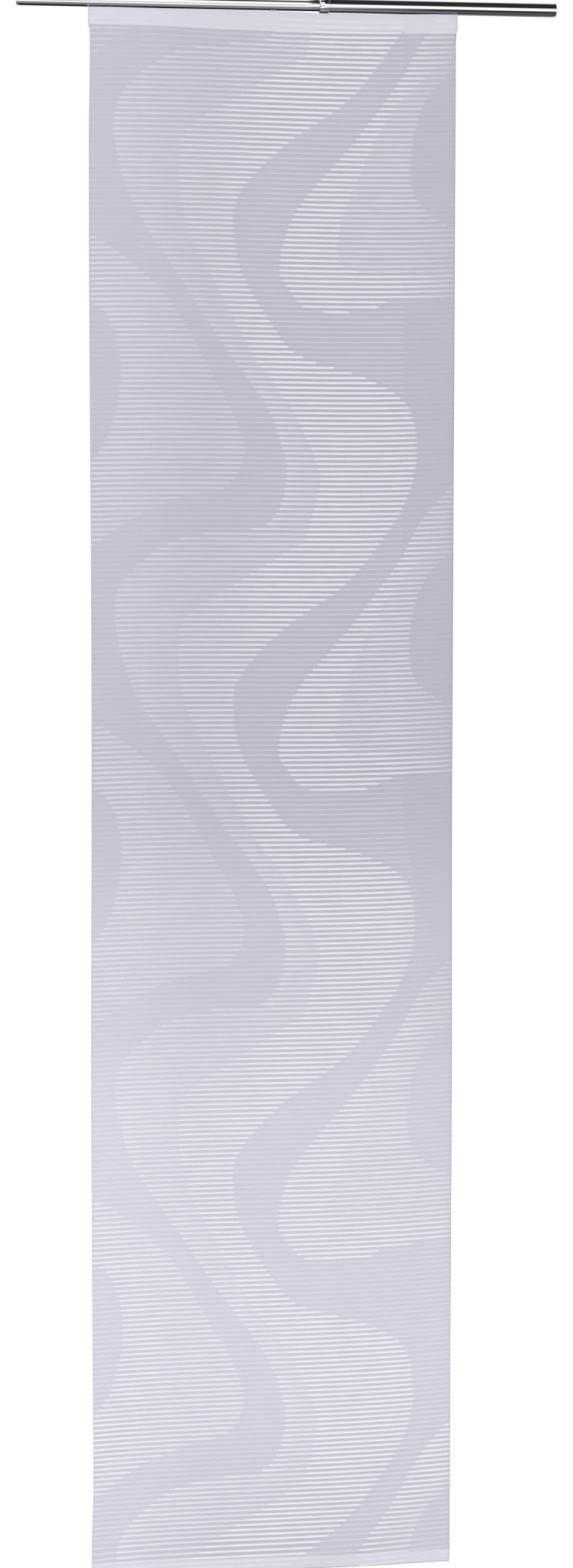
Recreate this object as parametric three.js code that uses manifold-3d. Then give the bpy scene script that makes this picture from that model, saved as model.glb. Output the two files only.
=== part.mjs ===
// A flat panel curtain that slides along a two-part telescopic rod.
// Millimetres. +X runs along the rod to the right, +Y goes away from the viewer and +Z is up.
// The origin is on the rod's axis, straight above the middle of the panel.

import * as THREE from 'three';
import { mergeVertices } from 'three/addons/utils/BufferGeometryUtils.js';
import Module from 'manifold-3d';

const wasm = await Module();
wasm.setup();

// Gaps between neighbours
const SEAT_GAP = 0.3;
const WELD = 0.2;

// Rod
const WIDE_TUBE_R = 11;
const TUBE_WALL = 1;
const TELESCOPE_PLAY = 0.5;
const TRACK_SLOT = 6;
const ROD_LEFT = -393;
const ROD_RIGHT = 441.5;
const WIDE_TUBE_START = 80;
const COLLAR_LENGTH = 15;
const COLLAR_COVER = 7;
const COLLAR_MOUTH_WALL = 0.9;
const COLLAR_LIP_WALL = 0.7;
const COLLAR_EDGE = 0.3;
const CAP_FLANGE = 3;
const CAP_PLUG = 8;
const CAP_ROUNDING = 1;

// Gliders
const GLIDER_INSET = 31.5;
const GLIDER_HEAD_LENGTH = 14;
const GLIDER_HEAD_SIDE_PLAY = 1.6;
const GLIDER_HEAD_FLANK = 0.9;
const GLIDER_HEAD_CHAMFER = 1;
const GLIDER_NECK_LENGTH = 9;
const GLIDER_NECK_PLAY = 1.2;
const GLIDER_NECK_THIN = 1.6;
const GLIDER_FOOT_R = 2;
const GLIDER_FOOT_LENGTH = 12;

// Cloth
const CLOTH_WIDTH = 567;
const CLOTH_DROP = 2450;
const CLOTH_THICK = 0.6;
const CLOTH_BELOW_ROD = 2;
const HEADER_DROP = 27;
const HEADER_OVERHANG = 2.5;
const SIDE_HEM = 8;
const BOTTOM_HEM = 21;
const WEIGHT_BAR_OVERHANG = 2;
const WEIGHT_BAR_HEIGHT = 15;
const WEIGHT_BAR_THICK = 2.4;

// Carrier rail, hidden behind the header
const RAIL_TOP_INSET = 0.6;
const RAIL_FOOT_INSET = 0.5;
const RAIL_CHANNEL_WALL = 1.1;
const RAIL_CHANNEL_GRIP = 0.4;
const RAIL_WEB = 1.4;
const RAIL_FOOT_BEAD_R = 0.9;
const RAIL_CAP = 2;
const RAIL_CAP_ROUNDING = 1;
const RAIL_CAP_PEG = 6;

// Fastening tape
const TAPE_WIDTH = 20;
const TAPE_THICK = 0.8;
const TAPE_ABOVE_RAIL_FOOT = 0.5;

// Weave: rows of raised ribs that fade out in plain bands, which wind down the cloth in waves
const RIB_PITCH = 7.87;
const RIB_WIDTH = 3.6;
const RIB_HEIGHT = 0.5;
const FIRST_RIB_BELOW_HEADER = 4.4;
const SHORTEST_RIB = 6;
const WAVE_REPEAT = 750;

// Edges of the plain bands, each as points of [distance across from the middle, drop below the cloth's top]
const MIDDLE_LEFT_EDGE = [
  [-21, 44], [-100, 51], [-168, 70], [-233, 125], [-247, 187], [-219, 292], [-152, 396], [-81, 504],
  [-12, 600], [15, 667], [22, 704], [15, 750], [-2, 781], [-21, 794],
];
const MIDDLE_RIGHT_EDGE = [
  [198, 27], [122, 125], [19, 200], [-51, 275], [-61, 337], [-47, 400], [-3, 475], [42, 525],
  [144, 558], [210, 600], [227, 665], [220, 725], [198, 777],
];
const LEFT_LOBE_EDGE = [
  [-320, 320], [-246, 365], [-167, 435], [-104, 540], [-62, 617], [-44, 675], [-69, 727], [-121, 741],
  [-192, 765], [-252, 800], [-320, 850],
];
const LEFT_LENS_EDGE = [[-320, 425], [-258, 467], [-237, 550], [-258, 654], [-320, 730]];
const RIGHT_LOBE_EDGE = [
  [320, -55], [240, 27], [197, 100], [121, 200], [37, 300], [10, 385], [26, 425], [60, 454], [150, 454],
  [190, 438], [320, 434],
];
const RIGHT_LENS_EDGE = [[320, 55], [242, 125], [216, 220], [233, 292], [320, 350]];

const ARC_STEPS = 18;
const EDGE_STEPS = 8;
const HEM_STEPS = 4;
const CUT_PAST = 1;

const chrome = { color: 0xd4d6da, roughness: 0.08, metalness: 1 };
const whiteMoulding = { color: 0xf3f3f1, roughness: 0.4, metalness: 0 };
const whiteTape = { color: 0xeeeef0, roughness: 0.9, metalness: 0 };
const anodised = { color: 0xc9cacc, roughness: 0.35, metalness: 1 };
const sheerCloth = { color: 0xd2d0da, roughness: 0.85, metalness: 0 };

// Drawn sections have their first coordinate along +Y and their second along +Z.
const sectionToRow = new THREE.Matrix4().makeBasis(
  new THREE.Vector3(0, 1, 0),
  new THREE.Vector3(0, 0, 1),
  new THREE.Vector3(1, 0, 0),
);

function solidOf(geometry) {
  geometry.deleteAttribute('normal');
  geometry.deleteAttribute('uv');
  const welded = mergeVertices(geometry, 1e-5);
  return new wasm.Manifold(new wasm.Mesh({
    numProp: 3,
    vertProperties: new Float32Array(welded.attributes.position.array),
    triVerts: new Uint32Array(welded.index.array),
  }));
}

function geometryOf(solid) {
  const mesh = solid.getMesh();
  const geometry = new THREE.BufferGeometry();
  geometry.setAttribute('position', new THREE.BufferAttribute(new Float32Array(mesh.vertProperties), 3));
  geometry.setIndex(new THREE.BufferAttribute(new Uint32Array(mesh.triVerts), 1));
  geometry.computeVertexNormals();
  return geometry;
}

function piece(name, solid, look) {
  const mesh = new THREE.Mesh(geometryOf(solid), new THREE.MeshStandardMaterial(look));
  mesh.name = name;
  return mesh;
}

// A section drawn in Y and Z, run along X from one place to another.
function run(shape, fromX, toX, steps = ARC_STEPS) {
  const depth = toX - fromX;
  const geometry = new THREE.ExtrudeGeometry(shape, { depth, bevelEnabled: false, curveSegments: steps });
  geometry.applyMatrix4(sectionToRow);
  geometry.translate(fromX, 0, 0);
  return solidOf(geometry);
}

function box(x0, x1, y0, y1, z0, z1) {
  const geometry = new THREE.BoxGeometry(x1 - x0, y1 - y0, z1 - z0);
  geometry.translate((x0 + x1) / 2, (y0 + y1) / 2, (z0 + z1) / 2);
  return solidOf(geometry);
}

// A profile of radius against X, turned about the rod's axis.
function turned(profile) {
  const points = profile.map(([radius, x]) => new THREE.Vector2(radius, x));
  const geometry = new THREE.LatheGeometry(points, 2 * ARC_STEPS);
  geometry.applyMatrix4(sectionToRow.clone().multiply(new THREE.Matrix4().makeRotationX(Math.PI / 2)));
  return solidOf(geometry);
}

// Round tube with a gap of the given width at the side that faces the angle `open`.
function slottedRing(outerR, innerR, gap, open) {
  const outer = Math.acos(gap / 2 / outerR);
  const inner = Math.acos(gap / 2 / innerR);
  const quarter = Math.PI / 2;
  const shape = new THREE.Shape();
  shape.absarc(0, 0, outerR, open + quarter - outer, open - quarter + outer + 2 * Math.PI, false);
  shape.absarc(0, 0, innerR, open - quarter + inner + 2 * Math.PI, open + quarter - inner, true);
  shape.closePath();
  return shape;
}

function roundedBar(y0, y1, z0, z1, radius) {
  const shape = new THREE.Shape();
  shape.moveTo(y0 + radius, z0);
  shape.lineTo(y1 - radius, z0);
  shape.absarc(y1 - radius, z0 + radius, radius, -Math.PI / 2, 0, false);
  shape.absarc(y1 - radius, z1 - radius, radius, 0, Math.PI / 2, false);
  shape.absarc(y0 + radius, z1 - radius, radius, Math.PI / 2, Math.PI, false);
  shape.absarc(y0 + radius, z0 + radius, radius, Math.PI, 1.5 * Math.PI, false);
  return shape;
}

const DOWN = -Math.PI / 2;
const UP = Math.PI / 2;

const slimTubeR = WIDE_TUBE_R - TUBE_WALL - TELESCOPE_PLAY;
const slimBoreR = slimTubeR - TUBE_WALL;
const clothTop = -WIDE_TUBE_R - CLOTH_BELOW_ROD;
const clothBottom = clothTop - CLOTH_DROP;
const channelBoreR = GLIDER_FOOT_R + SEAT_GAP;
const channelR = channelBoreR + RAIL_CHANNEL_WALL;
const footZ = clothTop - RAIL_TOP_INSET - channelR;
const railFoot = clothTop - HEADER_DROP + RAIL_FOOT_INSET;
const railHalf = CLOTH_WIDTH / 2;

function rodTube(name, radius, fromX, toX) {
  const section = slottedRing(radius, radius - TUBE_WALL, TRACK_SLOT, DOWN);
  return piece(name, run(section, fromX, toX, 2 * ARC_STEPS), chrome);
}

// The collar covers the wide tube's mouth and tapers down to the slim tube.
function rodCollar() {
  const start = WIDE_TUBE_START + COLLAR_COVER - COLLAR_LENGTH;
  const end = WIDE_TUBE_START + COLLAR_COVER;
  const mouthBoreR = WIDE_TUBE_R + SEAT_GAP;
  const lipBoreR = slimTubeR + SEAT_GAP;
  const stepX = WIDE_TUBE_START - SEAT_GAP;
  const ring = turned([
    [lipBoreR, start],
    [lipBoreR + COLLAR_LIP_WALL - COLLAR_EDGE, start],
    [lipBoreR + COLLAR_LIP_WALL, start + COLLAR_EDGE],
    [mouthBoreR + COLLAR_MOUTH_WALL, WIDE_TUBE_START],
    [mouthBoreR + COLLAR_MOUTH_WALL, end - COLLAR_EDGE],
    [mouthBoreR + COLLAR_MOUTH_WALL - COLLAR_EDGE, end],
    [mouthBoreR, end],
    [mouthBoreR, stepX],
    [lipBoreR, stepX],
    [lipBoreR, start],
  ]);
  const reach = 2 * WIDE_TUBE_R;
  const half = TRACK_SLOT / 2;
  const slot = box(start - CUT_PAST, end + CUT_PAST, -half, half, -reach, 0);
  return piece('rod_collar', ring.subtract(slot), chrome);
}

// A plug in the tube's bore behind a flange of the tube's own diameter. `out` is +1 at the right end.
function endCap(name, tubeR, endX, out) {
  const plugR = tubeR - TUBE_WALL - SEAT_GAP;
  const face = endX + out * (SEAT_GAP + CAP_FLANGE);
  const profile = [
    [0, endX - out * CAP_PLUG],
    [plugR, endX - out * CAP_PLUG],
    [plugR, endX + out * SEAT_GAP],
    [tubeR, endX + out * SEAT_GAP],
    [tubeR, face - out * CAP_ROUNDING],
    [tubeR - CAP_ROUNDING / 3, face - out * CAP_ROUNDING / 3],
    [tubeR - CAP_ROUNDING, face],
    [0, face],
  ];
  return piece(name, turned(out > 0 ? profile : profile.reverse()), chrome);
}

// The head rides on the two lips of the track, the neck hangs through the slot and the round foot
// is threaded into the carrier rail.
function glider(name, x) {
  const rideR = slimBoreR - SEAT_GAP;
  const side = rideR - GLIDER_HEAD_SIDE_PLAY;
  const neck = TRACK_SLOT / 2 - GLIDER_NECK_PLAY;
  const shoulder = Math.acos(side / rideR);
  const flankTop = GLIDER_HEAD_FLANK - rideR * Math.sin(shoulder);
  const headTop = flankTop + GLIDER_HEAD_CHAMFER;
  const head = new THREE.Shape();
  head.absarc(0, 0, rideR, -Math.acos(neck / rideR), -shoulder, false);
  head.lineTo(side, flankTop);
  head.lineTo(side - GLIDER_HEAD_CHAMFER, headTop);
  head.lineTo(GLIDER_HEAD_CHAMFER - side, headTop);
  head.lineTo(-side, flankTop);
  head.absarc(0, 0, rideR, shoulder - Math.PI, Math.acos(neck / rideR) - Math.PI, false);
  head.closePath();

  const thin = GLIDER_NECK_THIN / 2;
  const taperTop = -WIDE_TUBE_R;
  const taperEnd = footZ + GLIDER_FOOT_R + RAIL_CHANNEL_WALL + SEAT_GAP;
  const blade = new THREE.Shape();
  blade.moveTo(-thin, footZ);
  blade.lineTo(thin, footZ);
  blade.lineTo(thin, taperEnd);
  blade.lineTo(neck, taperTop);
  blade.lineTo(neck, flankTop);
  blade.lineTo(-neck, flankTop);
  blade.lineTo(-neck, taperTop);
  blade.lineTo(-thin, taperEnd);
  blade.closePath();

  const foot = new THREE.Shape();
  foot.absarc(0, footZ, GLIDER_FOOT_R, 0, 2 * Math.PI, false);

  const along = (shape, length, steps) => run(shape, x - length / 2, x + length / 2, steps);
  const solid = along(head, GLIDER_HEAD_LENGTH, ARC_STEPS / 3)
    .add(along(blade, GLIDER_NECK_LENGTH, 1))
    .add(along(foot, GLIDER_FOOT_LENGTH, ARC_STEPS));
  return piece(name, solid, whiteMoulding);
}

const railFront = -channelR;

// Extruded rail: a round channel, open at the top, over a flat web with a bead along its foot.
function carrierRail() {
  const mouth = 2 * (GLIDER_FOOT_R - RAIL_CHANNEL_GRIP);
  const channel = run(slottedRing(channelR, channelBoreR, mouth, UP), -railHalf, railHalf);
  const webBack = railFront + RAIL_WEB;
  const webTop = footZ - Math.sqrt(channelBoreR ** 2 - webBack ** 2) - WELD;
  const web = box(-railHalf, railHalf, railFront, webBack, railFoot, webTop);
  const bead = new THREE.Shape();
  bead.absarc(webBack, railFoot + RAIL_FOOT_BEAD_R, RAIL_FOOT_BEAD_R, 0, 2 * Math.PI, false);
  const solid = channel.translate([0, 0, footZ]).add(web)
    .add(run(bead, -railHalf, railHalf, ARC_STEPS / 3));
  return piece('carrier_rail', solid, anodised);
}

// End cap of the rail: a plate behind its whole section, with a peg in the channel.
function railCap(name, side) {
  const plate = roundedBar(-channelR, channelR, railFoot, footZ + channelR, RAIL_CAP_ROUNDING);
  const peg = new THREE.Shape();
  peg.absarc(0, footZ, GLIDER_FOOT_R, 0, 2 * Math.PI, false);
  const inner = railHalf + SEAT_GAP;
  const solid = run(plate, inner, inner + RAIL_CAP, ARC_STEPS / 3)
    .add(run(peg, inner - RAIL_CAP_PEG, inner + WELD));
  return piece(name, side > 0 ? solid : solid.mirror([1, 0, 0]), whiteMoulding);
}

const hookTapeFront = railFront - SEAT_GAP - TAPE_THICK;
const loopTapeFront = hookTapeFront - SEAT_GAP - TAPE_THICK;

function tape(name, frontY) {
  const bottom = railFoot + TAPE_ABOVE_RAIL_FOOT;
  const strip = box(-railHalf, railHalf, frontY, frontY + TAPE_THICK, bottom, bottom + TAPE_WIDTH);
  return piece(name, strip, whiteTape);
}

const headerBack = loopTapeFront - SEAT_GAP;
const clothBack = headerBack - CLOTH_THICK;
const clothFront = clothBack - CLOTH_THICK;
const clothHalf = CLOTH_WIDTH / 2;

// An edge of the weave as a smooth line, in X and drop.
function smoothEdge(points) {
  const curve = new THREE.SplineCurve(points.map(([x, drop]) => new THREE.Vector2(x, drop)));
  return curve.getPoints(EDGE_STEPS * (points.length - 1));
}

// Where a row of the weave crosses the edges, which repeat down the cloth.
function crossings(edges, drop) {
  const places = [];
  for (let shift = -WAVE_REPEAT; shift < CLOTH_DROP; shift += WAVE_REPEAT) {
    for (const edge of edges) {
      for (let i = 1; i < edge.length; i += 1) {
        const above = edge[i - 1].y + shift - drop;
        const below = edge[i].y + shift - drop;
        if ((above <= 0) !== (below <= 0)) {
          places.push(edge[i - 1].x + (edge[i].x - edge[i - 1].x) * above / (above - below));
        }
      }
    }
  }
  return places.sort((a, b) => a - b);
}

// Ribs stand between every other pair of edges, and those at the sides run into the side hem.
function ribSpans(drop, areas, margin) {
  const spans = [];
  for (const { edges, side } of areas) {
    const places = crossings(edges, drop);
    if (places.length % 2) places.push(side * margin);
    places.sort((a, b) => a - b);
    for (let i = 0; i < places.length; i += 2) {
      const from = Math.max(places[i], -margin);
      const to = Math.min(places[i + 1], margin);
      if (to - from > SHORTEST_RIB) spans.push([from, to]);
    }
  }
  return spans;
}

function ribs() {
  const areas = [
    { edges: [MIDDLE_LEFT_EDGE, MIDDLE_RIGHT_EDGE].map(smoothEdge), side: 1 },
    { edges: [LEFT_LOBE_EDGE, LEFT_LENS_EDGE].map(smoothEdge), side: -1 },
    { edges: [RIGHT_LOBE_EDGE, RIGHT_LENS_EDGE].map(smoothEdge), side: 1 },
  ];
  const margin = clothHalf - SIDE_HEM / 2;
  const lastDrop = CLOTH_DROP - BOTTOM_HEM - RIB_WIDTH / 2;
  const bars = [];
  for (let drop = HEADER_DROP + FIRST_RIB_BELOW_HEADER; drop < lastDrop; drop += RIB_PITCH) {
    const z = clothTop - drop;
    const section = new THREE.Shape();
    section.moveTo(clothFront + WELD, z - RIB_WIDTH / 2);
    section.lineTo(clothFront + WELD, z + RIB_WIDTH / 2);
    section.lineTo(clothFront - RIB_HEIGHT, z);
    section.closePath();
    for (const [from, to] of ribSpans(drop, areas, margin)) {
      bars.push(run(section, from, to, 1));
    }
  }
  return wasm.Manifold.union(bars);
}

// Single cloth with a turned-back header, side hems and, at the bottom, a tunnel round the weight bar.
function curtainCloth() {
  const hemTop = clothBottom + BOTTOM_HEM;
  const tunnelBack = clothBack + WEIGHT_BAR_THICK + 2 * SEAT_GAP + CLOTH_THICK;
  const tunnelWall = roundedBar(clothFront, tunnelBack, clothBottom, hemTop, CLOTH_THICK + SEAT_GAP);
  const tunnelHole = roundedBar(clothBack, tunnelBack - CLOTH_THICK, clothBottom + CLOTH_THICK,
    hemTop - CLOTH_THICK, SEAT_GAP);
  const sheet = box(-clothHalf, clothHalf, clothFront, clothBack, clothBottom + BOTTOM_HEM / 2, clothTop);
  const headerHalf = clothHalf + HEADER_OVERHANG;
  const header = box(-headerHalf, headerHalf, clothFront, headerBack, clothTop - HEADER_DROP, clothTop);
  const sideHem = box(clothHalf - SIDE_HEM, clothHalf, clothBack - WELD, headerBack,
    hemTop - WELD, clothTop);
  const solid = sheet
    .add(run(tunnelWall, -clothHalf, clothHalf, HEM_STEPS))
    .subtract(run(tunnelHole, -clothHalf - CUT_PAST, clothHalf + CUT_PAST, HEM_STEPS))
    .add(header)
    .add(sideHem)
    .add(sideHem.mirror([1, 0, 0]))
    .add(ribs());
  return piece('curtain_cloth', solid, sheerCloth);
}

function weightBar() {
  const half = clothHalf + WEIGHT_BAR_OVERHANG;
  const y0 = clothBack + SEAT_GAP;
  const z0 = clothBottom + CLOTH_THICK + SEAT_GAP;
  const section = roundedBar(y0, y0 + WEIGHT_BAR_THICK, z0, z0 + WEIGHT_BAR_HEIGHT, WEIGHT_BAR_THICK / 3);
  return piece('weight_bar', run(section, -half, half, ARC_STEPS / 5), anodised);
}

const rod = new THREE.Group();
rod.name = 'rod';
rod.add(
  rodTube('outer_tube', WIDE_TUBE_R, WIDE_TUBE_START, ROD_RIGHT),
  rodCollar(),
  endCap('end_cap_right', WIDE_TUBE_R, ROD_RIGHT, 1),
  rodTube('inner_tube', slimTubeR, ROD_LEFT, ROD_RIGHT - CAP_PLUG - SEAT_GAP),
  endCap('end_cap_left', slimTubeR, ROD_LEFT, -1),
);

const gliders = new THREE.Group();
gliders.name = 'gliders';
gliders.add(
  glider('glider_left', GLIDER_INSET - railHalf),
  glider('glider_middle', 0),
  glider('glider_right', railHalf - GLIDER_INSET),
);

const panel = new THREE.Group();
panel.name = 'panel';
panel.add(
  carrierRail(),
  railCap('carrier_cap_left', -1),
  railCap('carrier_cap_right', 1),
  tape('hook_tape', hookTapeFront),
  tape('loop_tape', loopTapeFront),
  curtainCloth(),
  weightBar(),
);

const curtain = new THREE.Group();
curtain.name = 'sliding_panel_curtain';
curtain.add(rod, gliders, panel);

export default curtain;
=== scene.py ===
# %% [markdown]
# # A sliding panel curtain on a chromed rod
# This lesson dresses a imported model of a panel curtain. The cloth is woven with ribs that come and go
# in tall waves, so most of the work is to weave those ribs as real geometry and to light them gently.
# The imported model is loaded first, because every piece takes its size and place from it.

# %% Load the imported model
import math

import bmesh
import bpy
from mathutils import Matrix, Vector, noise


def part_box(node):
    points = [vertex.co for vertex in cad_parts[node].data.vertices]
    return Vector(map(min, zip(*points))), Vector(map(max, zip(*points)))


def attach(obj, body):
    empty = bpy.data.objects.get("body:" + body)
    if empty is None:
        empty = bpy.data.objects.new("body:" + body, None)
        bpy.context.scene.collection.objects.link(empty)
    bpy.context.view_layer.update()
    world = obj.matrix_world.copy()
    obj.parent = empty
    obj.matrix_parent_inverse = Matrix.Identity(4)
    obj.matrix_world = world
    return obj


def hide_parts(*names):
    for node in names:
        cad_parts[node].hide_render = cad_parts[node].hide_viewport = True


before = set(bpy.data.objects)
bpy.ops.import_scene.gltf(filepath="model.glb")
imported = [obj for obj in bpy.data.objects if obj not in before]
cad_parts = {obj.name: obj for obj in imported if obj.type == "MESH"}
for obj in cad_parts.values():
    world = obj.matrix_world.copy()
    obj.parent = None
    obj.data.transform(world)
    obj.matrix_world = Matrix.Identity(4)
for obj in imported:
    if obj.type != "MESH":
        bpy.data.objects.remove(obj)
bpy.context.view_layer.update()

MM = 0.001

# %% [markdown]
# ## The camera
# The photograph was taken from the left of the panel, at about a third of its height below the rod, and
# from far away. A long lens keeps the two long edges of the cloth nearly parallel, as they are there.

# %% Camera
PHOTO_HEIGHT_PX = 2136
FOCAL_PX = 4678
SENSOR = 36
CAMERA_PLACE = Vector((-0.652, -5.345, -0.826))
CAMERA_YAW, CAMERA_PITCH, CAMERA_ROLL = -7.2, -4.07, 0.09


def add_object(name, data):
    made = bpy.data.objects.new(name, data)
    bpy.context.scene.collection.objects.link(made)
    return made


camera_data = bpy.data.cameras.new("camera")
camera_data.sensor_width = SENSOR
camera_data.lens = FOCAL_PX / PHOTO_HEIGHT_PX * SENSOR
camera_data.clip_end = 100
camera = add_object("camera", camera_data)
bpy.context.scene.camera = camera
turn = (
    Matrix.Rotation(math.radians(CAMERA_YAW), 4, "Z")
    @ Matrix.Rotation(math.radians(90 + CAMERA_PITCH), 4, "X")
    @ Matrix.Rotation(math.radians(CAMERA_ROLL), 4, "Z")
)
camera.matrix_world = Matrix.Translation(CAMERA_PLACE) @ turn

# %% [markdown]
# ## Where the cloth hangs
# The cloth's box in the model gives its top, its bottom and its width. The sheet's front lies behind the
# crest of the ribs by the height of one rib, and the header is a little wider than the cloth below it.

# %% Measures of the cloth
RIB_HEIGHT = 0.5 * MM
HEADER_OVERHANG = 2.5 * MM
HEADER_DROP = 27 * MM
BOTTOM_HEM = 21 * MM
SIDE_HEM = 8 * MM
SHEET_THICK = 0.45 * MM

cloth_low, cloth_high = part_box("curtain_cloth")
bar_low, bar_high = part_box("weight_bar")
cloth_top = cloth_high.z
cloth_bottom = cloth_low.z
cloth_drop = cloth_top - cloth_bottom
cloth_half = cloth_high.x - HEADER_OVERHANG
front_y = cloth_low.y + RIB_HEIGHT + SHEET_THICK / 2
print("cloth", round(2 * cloth_half, 4), "by", round(cloth_drop, 4), "front at", round(front_y, 5))

# %% [markdown]
# The two side edges don't hang quite straight. The left one swings out and in again, the right one
# spreads slowly, and both step out over the header. The rows of the weave end at these edges too.
# A name that ends in OVER holds the two places between which a smooth change goes on.

# %% Side edges
HEADER_STEP_OVER = (HEADER_DROP - 5 * MM, HEADER_DROP + 4 * MM)
LEFT_SWING, SWING_PEAK, SWING_LENGTH = 1.1 * MM, 0.33, 1.43
SWING_OVER = (0.03, 0.2)
FOOT_SPREAD, FOOT_SPREAD_OVER = 3.4 * MM, (2.3, 2.43)
RIGHT_SPREAD, RIGHT_SPREAD_BELOW, RIGHT_SPREAD_OVER = 2.5 * MM, 2.0 * MM, (1.2, 1.7)
CORNER_ROUND, CORNER_HEIGHT = 2.2 * MM, 4 * MM


def smooth(low, high, value):
    """0 below low, 1 above high, and an S-curve between."""
    t = max(0.0, min(1.0, (value - low) / (high - low)))
    return t * t * (3 - 2 * t)


def edge_at(side, z):
    """Where the left (-1) or the right (1) edge of the cloth hangs at a height."""
    drop = cloth_top - z
    half = cloth_half + HEADER_OVERHANG * (1 - smooth(*HEADER_STEP_OVER, drop))
    if side < 0:
        swing = 1 + math.cos(2 * math.pi * (drop - SWING_PEAK) / SWING_LENGTH)
        half += LEFT_SWING * swing * smooth(*SWING_OVER, drop)
        half += FOOT_SPREAD * smooth(*FOOT_SPREAD_OVER, drop)
    else:
        half += RIGHT_SPREAD + RIGHT_SPREAD_BELOW * smooth(*RIGHT_SPREAD_OVER, drop)
        half -= CORNER_ROUND * max(0.0, 1 - (z - cloth_bottom) / CORNER_HEIGHT) ** 2
    return side * half


# %% [markdown]
# ## The pattern of the weave
# Three kinds of row make the pattern: plain ground with one thin line to each row, quiet ribs and bright
# ribs. Their borders are smooth curves that repeat every 750 mm down the cloth. Each curve is a few
# points of (distance across from the middle, drop below the top) in millimetres, joined by a
# Catmull-Rom spline.

# %% Borders of the woven areas
RIB_PITCH = 7.87
FIRST_RIB = 31.4
ROWS_ON_HEADER = 3
WAVE_REPEAT = 750
EDGE_STEPS = 8

BORDERS = {
    "middle_left": [
        (-21, 44), (-100, 51), (-168, 70), (-233, 125), (-247, 187), (-219, 292), (-152, 396),
        (-81, 504), (-12, 600), (15, 667), (22, 704), (15, 750), (-2, 781), (-21, 794),
    ],
    "middle_right": [
        (198, 27), (122, 125), (19, 200), (-51, 275), (-61, 337), (-47, 400), (-3, 475), (42, 525),
        (144, 558), (210, 600), (227, 665), (220, 725), (198, 777),
    ],
    "middle_bright": [
        (50, 62), (-50, 125), (-133, 179), (-148, 240), (-135, 325), (-96, 404), (-33, 521),
        (27, 604), (69, 692), (72, 733), (50, 812),
    ],
    "left_lobe": [
        (-320, 320), (-246, 365), (-167, 435), (-104, 540), (-62, 617), (-44, 675), (-69, 727),
        (-121, 741), (-192, 765), (-252, 800), (-320, 850),
    ],
    "left_lens": [(-320, 425), (-258, 467), (-237, 550), (-258, 654), (-320, 730)],
    "left_bright": [
        (-320, 340), (-229, 425), (-187, 500), (-176, 575), (-196, 675), (-243, 758), (-320, 820),
    ],
    "right_lobe": [
        (320, -55), (240, 27), (197, 100), (121, 200), (37, 300), (10, 385), (26, 425), (60, 454),
        (150, 454), (190, 438), (320, 434),
    ],
    "right_lens": [(320, 55), (242, 125), (216, 220), (233, 292), (320, 350)],
    "right_quiet": [(320, 40), (202, 125), (133, 250), (103, 340), (125, 392), (320, 402)],
}


def spline(points):
    """Points along a Catmull-Rom curve through the given ones."""
    line = []
    last = len(points) - 1
    for i in range(last):
        p0, p1 = points[max(i - 1, 0)], points[i]
        p2, p3 = points[i + 1], points[min(i + 2, last)]
        for step in range(EDGE_STEPS):
            t = step / EDGE_STEPS
            weights = (
                (-t + 2 * t**2 - t**3) / 2,
                (2 - 5 * t**2 + 3 * t**3) / 2,
                (t + 4 * t**2 - 3 * t**3) / 2,
                (t**3 - t**2) / 2,
            )
            line.append([
                sum(w * p[axis] for w, p in zip(weights, (p0, p1, p2, p3))) for axis in (0, 1)
            ])
    line.append(list(points[last]))
    return line


def crossings(edge, drop):
    """Where a row of the weave crosses a border, which repeats down the cloth."""
    places = []
    shift = -WAVE_REPEAT
    while shift < cloth_drop / MM:
        for (xa, da), (xb, db) in zip(edge, edge[1:]):
            above, below = da + shift - drop, db + shift - drop
            if (above <= 0) != (below <= 0):
                places.append(xa + (xb - xa) * above / (above - below))
        shift += WAVE_REPEAT
    return sorted(places)


borders = {name: spline(points) for name, points in BORDERS.items()}

# %% [markdown]
# A row is cut into stretches, each with a strength from 0, plain ground, to 1, a bright rib. The
# stretches of one row follow from the places where it crosses the borders.

# %% Stretches of one row
PLAIN_MIDDLE = 0.15
PLAIN_REACH, PLAIN_REACH_BELOW, REACH_OVER = 205, 300, (1200, 1700)
FAINT_LEFT, FAINT_LEFT_ABOVE = 0.55, 150
FAINT_RIGHT, FAINT_RIGHT_ABOVE = 0.72, 420
MIDDLE_QUIET, MIDDLE_BRIGHT = 0.45, 1.0
LEFT_QUIET, LEFT_BRIGHT = 0.5, 0.72
RIGHT_QUIET, RIGHT_BRIGHT = 0.6, 0.92
SHORTEST_STRETCH = 3
BEYOND = 400


def inside(places, closes_at):
    """Pairs of places between which a row lies inside an area, which may run on past the cloth's edge."""
    ends = sorted(places + ([closes_at] if len(places) % 2 else []))
    return list(zip(ends[::2], ends[1::2]))


def split(stretches, areas, strength):
    """The parts of the stretches that lie in the areas get another strength."""
    result = []
    for start, end, old in stretches:
        cuts = sorted({start, end, *(min(max(x, start), end) for pair in areas for x in pair)})
        for a, b in zip(cuts, cuts[1:]):
            middle = (a + b) / 2
            covered = any(low <= middle <= high for low, high in areas)
            result.append((a, b, strength if covered else old))
    return result


def overlap(first, second):
    """The parts that two lists of areas have in common."""
    return [(max(a, c), min(b, d)) for a, b in first for c, d in second if max(a, c) < min(b, d)]


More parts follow.
